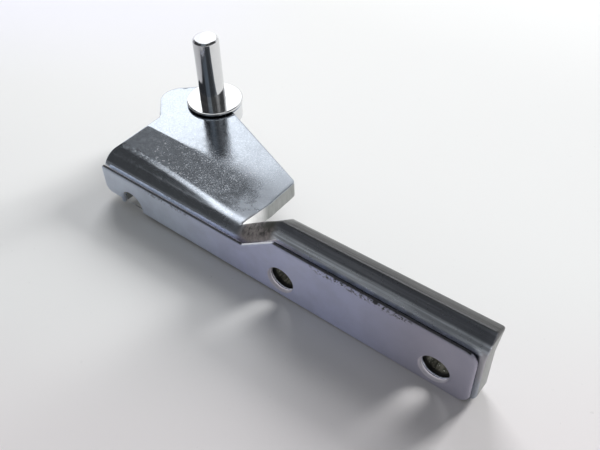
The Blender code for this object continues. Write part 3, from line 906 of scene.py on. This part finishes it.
def facing_outline():
    """Counter-clockwise outline of the facing plate in x and z."""
    slot_x, slot_z, slot_radius = SLOT
    points = rounded((PLATE_LEFT, FOOT_Z), (PLATE_LEFT, 8.0), (FOOT_END_X, FOOT_Z), FOOT_CORNER_RADIUS)
    points += [(FOOT_END_X, FOOT_Z), (FOOT_END_X, 0.0), (slot_x - slot_radius, 0.0)]
    points += arc((slot_x, slot_z), slot_radius, math.pi, 0.0, 24)
    points.append((slot_x + slot_radius, 0.0))
    corners = [
        (PLATE_RIGHT, 0.0, FLANGE_CORNER_RADIUS),
        (PLATE_RIGHT, PLATE_HIGH_TOP, PLATE_TOP_RADIUS),
        (PLATE_STEP[1], PLATE_HIGH_TOP, PLATE_STEP_RADIUS),
        (PLATE_STEP[0], PLATE_LOW_TOP, PLATE_STEP_RADIUS),
        (PLATE_LEFT, PLATE_LOW_TOP, PLATE_LEFT_RADIUS),
    ]
    chain = [points[-1]] + corners + [points[0]]
    for i in range(1, len(chain) - 1):
        points += rounded(chain[i], chain[i - 1], chain[i + 1], chain[i][2])
    return points


def facing_surface(x, z, depth):
    """Place on the flat plate."""
    return np.stack([x, depth, z], 1)


def make_facing(materials):
    """Flat plate whose hole edges are rolled in."""
    loops = [facing_outline()]
    loops += [circle((x, SCREW_HOLE_Z), SCREW_HOLE_RADIUS - HOLE_FIT) for x in SCREW_HOLES]
    edge = rim_profile(PLATE_THICK, *PLATE_EDGE)
    rolled = rim_profile(PLATE_THICK, *PLATE_HOLE_EDGE, 6)
    profiles = [edge, rolled, rolled]
    rows = list(np.arange(PLATE_SPACING / 2, PLATE_HIGH_TOP, PLATE_SPACING))
    slots = [0, 0, 0]
    verts, faces, kinds = sheet_mesh(loops, profiles, rows, PLATE_SPACING, facing_surface, PLATE_THICK, slots)
    return place("facing_skin", verts, faces, kinds, materials)


def with_support(profile, gap=0.06):
    """Profile with a point close to each end of its long runs, so that they shade straight."""
    points = []
    for i, p in enumerate(profile[:-1]):
        q = profile[i + 1]
        points.append(p)
        length = math.dist(p, q)
        if length > 4 * gap:
            for share in (gap / length, 1 - gap / length):
                points.append((p[0] + (q[0] - p[0]) * share, p[1] + (q[1] - p[1]) * share))
    return points + [profile[-1]]


def turned(name, profile, x, y, material, steps=128):
    """Solid of revolution about an upright axis, from (radius, z) points."""
    verts = []
    faces = []
    rings = []
    for radius, z in with_support(profile):
        if radius < 1e-6:
            verts.append((x, y, z))
            rings.append([len(verts) - 1] * steps)
            continue
        first = len(verts)
        for i in range(steps):
            a = 2 * math.pi * i / steps
            verts.append((x + radius * math.cos(a), y + radius * math.sin(a), z))
        rings.append(list(range(first, first + steps)))
    for lower, upper in zip(rings[:-1], rings[1:]):
        for i in range(steps):
            j = (i + 1) % steps
            corners = (lower[i], lower[j], upper[j], upper[i])
            face = tuple(dict.fromkeys(corners))
            if len(face) > 2:
                faces.append(face)
    return place(name, verts, faces, [0] * len(faces), [material], 30)


def corner_points(radius, z, size, side, steps=4):
    """Rounded outer corner of a turned profile: the lower one for side -1, the upper one for side 1."""
    points = []
    for i in range(steps + 1):
        a = math.pi / 2 * i / steps
        if side < 0:
            points.append((radius - size + size * math.sin(a), z + size - size * math.cos(a)))
        else:
            points.append((radius - size + size * math.cos(a), z - size + size * math.sin(a)))
    return points


def make_pin(material):
    """Pin with a chamfered foot, a collar under the tongue and a rounded chamfer at the top."""
    profile = [(0.0, PIN_FOOT), (PIN_RADIUS - PIN_FOOT_CHAMFER, PIN_FOOT)]
    profile += [(PIN_RADIUS, PIN_FOOT + PIN_FOOT_CHAMFER)]
    profile += [(PIN_RADIUS, COLLAR_TOP - COLLAR_HEIGHT), (COLLAR_RADIUS, COLLAR_TOP - COLLAR_HEIGHT)]
    profile += [(COLLAR_RADIUS, COLLAR_TOP), (PIN_RADIUS, COLLAR_TOP)]
    profile += [(PIN_RADIUS - inset, PIN_TOP - depth) for inset, depth in PIN_TOP_CHAMFER]
    profile.append((0.0, PIN_TOP))
    return turned("pin_body", profile, *PIN, material)


def make_washer(material):
    """Washer whose rim is shifted from the pin's axis, as it lies in the photograph."""
    low, high = WASHER_TOP - WASHER_THICK, WASHER_TOP
    inner, outer = PIN_RADIUS + WASHER_CLEARANCE, WASHER_RADIUS
    profile = [(inner, low), (outer - WASHER_FLAT_INSET, low)]
    profile += corner_points(outer, low, WASHER_LOW_RADIUS, -1)
    profile += corner_points(outer, high, WASHER_HIGH_RADIUS, 1)
    profile += [(inner, high), (inner, low)]
    body = turned("washer_body", profile, *PIN, material)
    for vertex in body.data.vertices:
        away = vertex.co - Vector(((PIN[0] - ORIGIN[0]) * MM, PIN[1] * MM, vertex.co.z))
        if away.length > (inner + WASHER_STILL_RING) * MM:
            vertex.co += Vector((*WASHER_SHIFT, 0.0)) * MM
    return body


def table_profile():
    """Side view of the table: tilted under the hinge, levelling off in front of it and behind it."""
    low, high = TABLE_TILTED
    front, rear = TABLE_EASE
    ys = np.concatenate((np.linspace(low - front, low, 13), np.linspace(high, high + rear, 13)))
    slope = np.where(ys < low, (ys - low + front) / front, 1.0)
    slope = TABLE_SLOPE_Y * np.where(ys > high, (high + rear - ys) / rear, slope)
    rises = np.diff(ys) * (slope[1:] + slope[:-1]) / 2
    zs = np.concatenate(([0.0], np.cumsum(rises)))
    zs += TABLE_TOUCH[2] + TABLE_SLOPE_Y * (low - TABLE_TOUCH[1]) - np.interp(low, ys, zs)
    return [(-TABLE_HALF, zs[0])] + list(zip(ys, zs)) + [(TABLE_HALF, zs[-1])]


def make_table():
    """Table as level strips along x that follow its side view."""
    verts = []
    for y, z in table_profile():
        for x in (TABLE_HALF, -TABLE_HALF):
            verts.append((x, y, z + TABLE_SLOPE_X * (x - TABLE_TOUCH[0])))
    faces = [(2 * i, 2 * i + 2, 2 * i + 3, 2 * i + 1) for i in range(len(verts) // 2 - 1)]
    mesh = bpy.data.meshes.new("table")
    mesh.from_pydata(verts, [], faces)
    mesh.shade_smooth()
    mesh.materials.append(table_material())
    table = bpy.data.objects.new("table", mesh)
    bpy.context.scene.collection.objects.link(table)


def add_lamp(name, azimuth, elevation, size, power, colour):
    """Soft rectangular lamp seen from the part at an azimuth from +Y towards +X and an elevation."""
    a, e = math.radians(azimuth), math.radians(elevation)
    data = bpy.data.lights.new(name, "AREA")
    data.shape = "RECTANGLE"
    data.size, data.size_y = size
    data.energy = power
    data.color = colour
    lamp = bpy.data.objects.new(name, data)
    bpy.context.scene.collection.objects.link(lamp)
    d = Vector((math.sin(a) * math.cos(e), math.cos(a) * math.cos(e), math.sin(e)))
    lamp.location = d * LAMP_DISTANCE
    lamp.rotation_mode = "QUATERNION"
    lamp.rotation_quaternion = d.to_track_quat("Z", "Y")
    lamp.visible_glossy = False


def seen_panels(g, x, y, z):
    """What metal sees: strengths and bands by the angle about the x axis (0 behind, 90 overhead) and by x."""
    angle = g.times(g.math("ARCTAN2", z, y), 180 / math.pi)
    pane = g.band(x, -0.9, 0.12, 0.1)
    blue = g.times(g.band(angle, 120.0, 155.0, 16.0), g.band(x, -0.05, 0.36, 0.08))
    panels = (
        # Window behind the hinge, the dim strip over it and the pale wall below it
        (1.9, g.band(angle, 36.0, 53.0, 1.0), pane, g.smooth(x, -0.62, -0.45, 1.0, 0.68)),
        (0.15, g.band(angle, 54.0, 68.0, 3.0), pane, g.smooth(x, -0.62, -0.53, 1.0, 0.3)),
        (0.75, g.band(angle, -30.0, 32.0, 4.0)),
        # Lamp overhead, which makes the streak along the bend
        (2.7, g.band(angle, 77.0, 92.0, 6.0), g.band(x, -0.555, 0.12, 0.085)),
        # Dim panels in front
        (0.2, blue),
        (0.13, g.band(angle, 158.0, 185.0, 8.0), g.band(x, -0.75, -0.2, 0.1)),
        # Walls at both ends, and everything below the horizon
        (0.45, g.band(x, 0.86, 1.2, 0.1)),
        (0.45, g.band(x, -1.2, -0.92, 0.05)),
        (0.4, g.band(z, -1.0, 0.02, 0.08)),
    )
    return panels, blue


def make_world():
    """Room round the table: metal sees windows and dark walls, everything else an even pale light."""
    world = bpy.data.worlds.new("room")
    bpy.context.scene.world = world
    world.use_nodes = True
    g = Graph(world.node_tree)
    back = world.node_tree.nodes["Background"]
    split = g.add("ShaderNodeSeparateXYZ")
    g.feed(split.inputs[0], g.add("ShaderNodeTexCoord").outputs["Generated"])
    panels, blue = seen_panels(g, *split.outputs)
    radiance = DARK_ROOM
    for strength, *bands in panels:
        radiance = g.plus(radiance, g.times(*bands, strength))
    paths = g.add("ShaderNodeLightPath")
    strength = g.blend(paths.outputs["Is Glossy Ray"], AMBIENT, radiance)
    strength = g.blend(paths.outputs["Is Camera Ray"], strength, BACKGROUND)
    g.feed(back.inputs["Strength"], strength)
    g.feed(back.inputs["Color"], g.mix(blue, ROOM_COLOUR, BLUE_PANEL_COLOUR))


make_camera()
make_table()
make_world()
for lamp in LAMPS:
    add_lamp(*lamp)

zinc = zinc_material()
sheared = sheared_material()
hole = hole_material()
facing = facing_material()
pin_steel = bright_material("plated_pin", 0.05)
washer_steel = bright_material("plated_washer", 0.08)

pieces = (
    (make_bracket([zinc, sheared, hole]), "hinge_bracket", "zinc_plated_sheet"),
    (make_facing([facing]), "facing_plate", "facing_sheet"),
    (make_pin(pin_steel), "hinge_pin", "plated_pin"),
    (make_washer(washer_steel), "pin_washer", "plated_washer"),
)
for piece, node_name, slot_name in pieces:
    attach(piece, "root")
    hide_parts(node_name)

bpy.context.scene.view_settings.view_transform = "Standard"
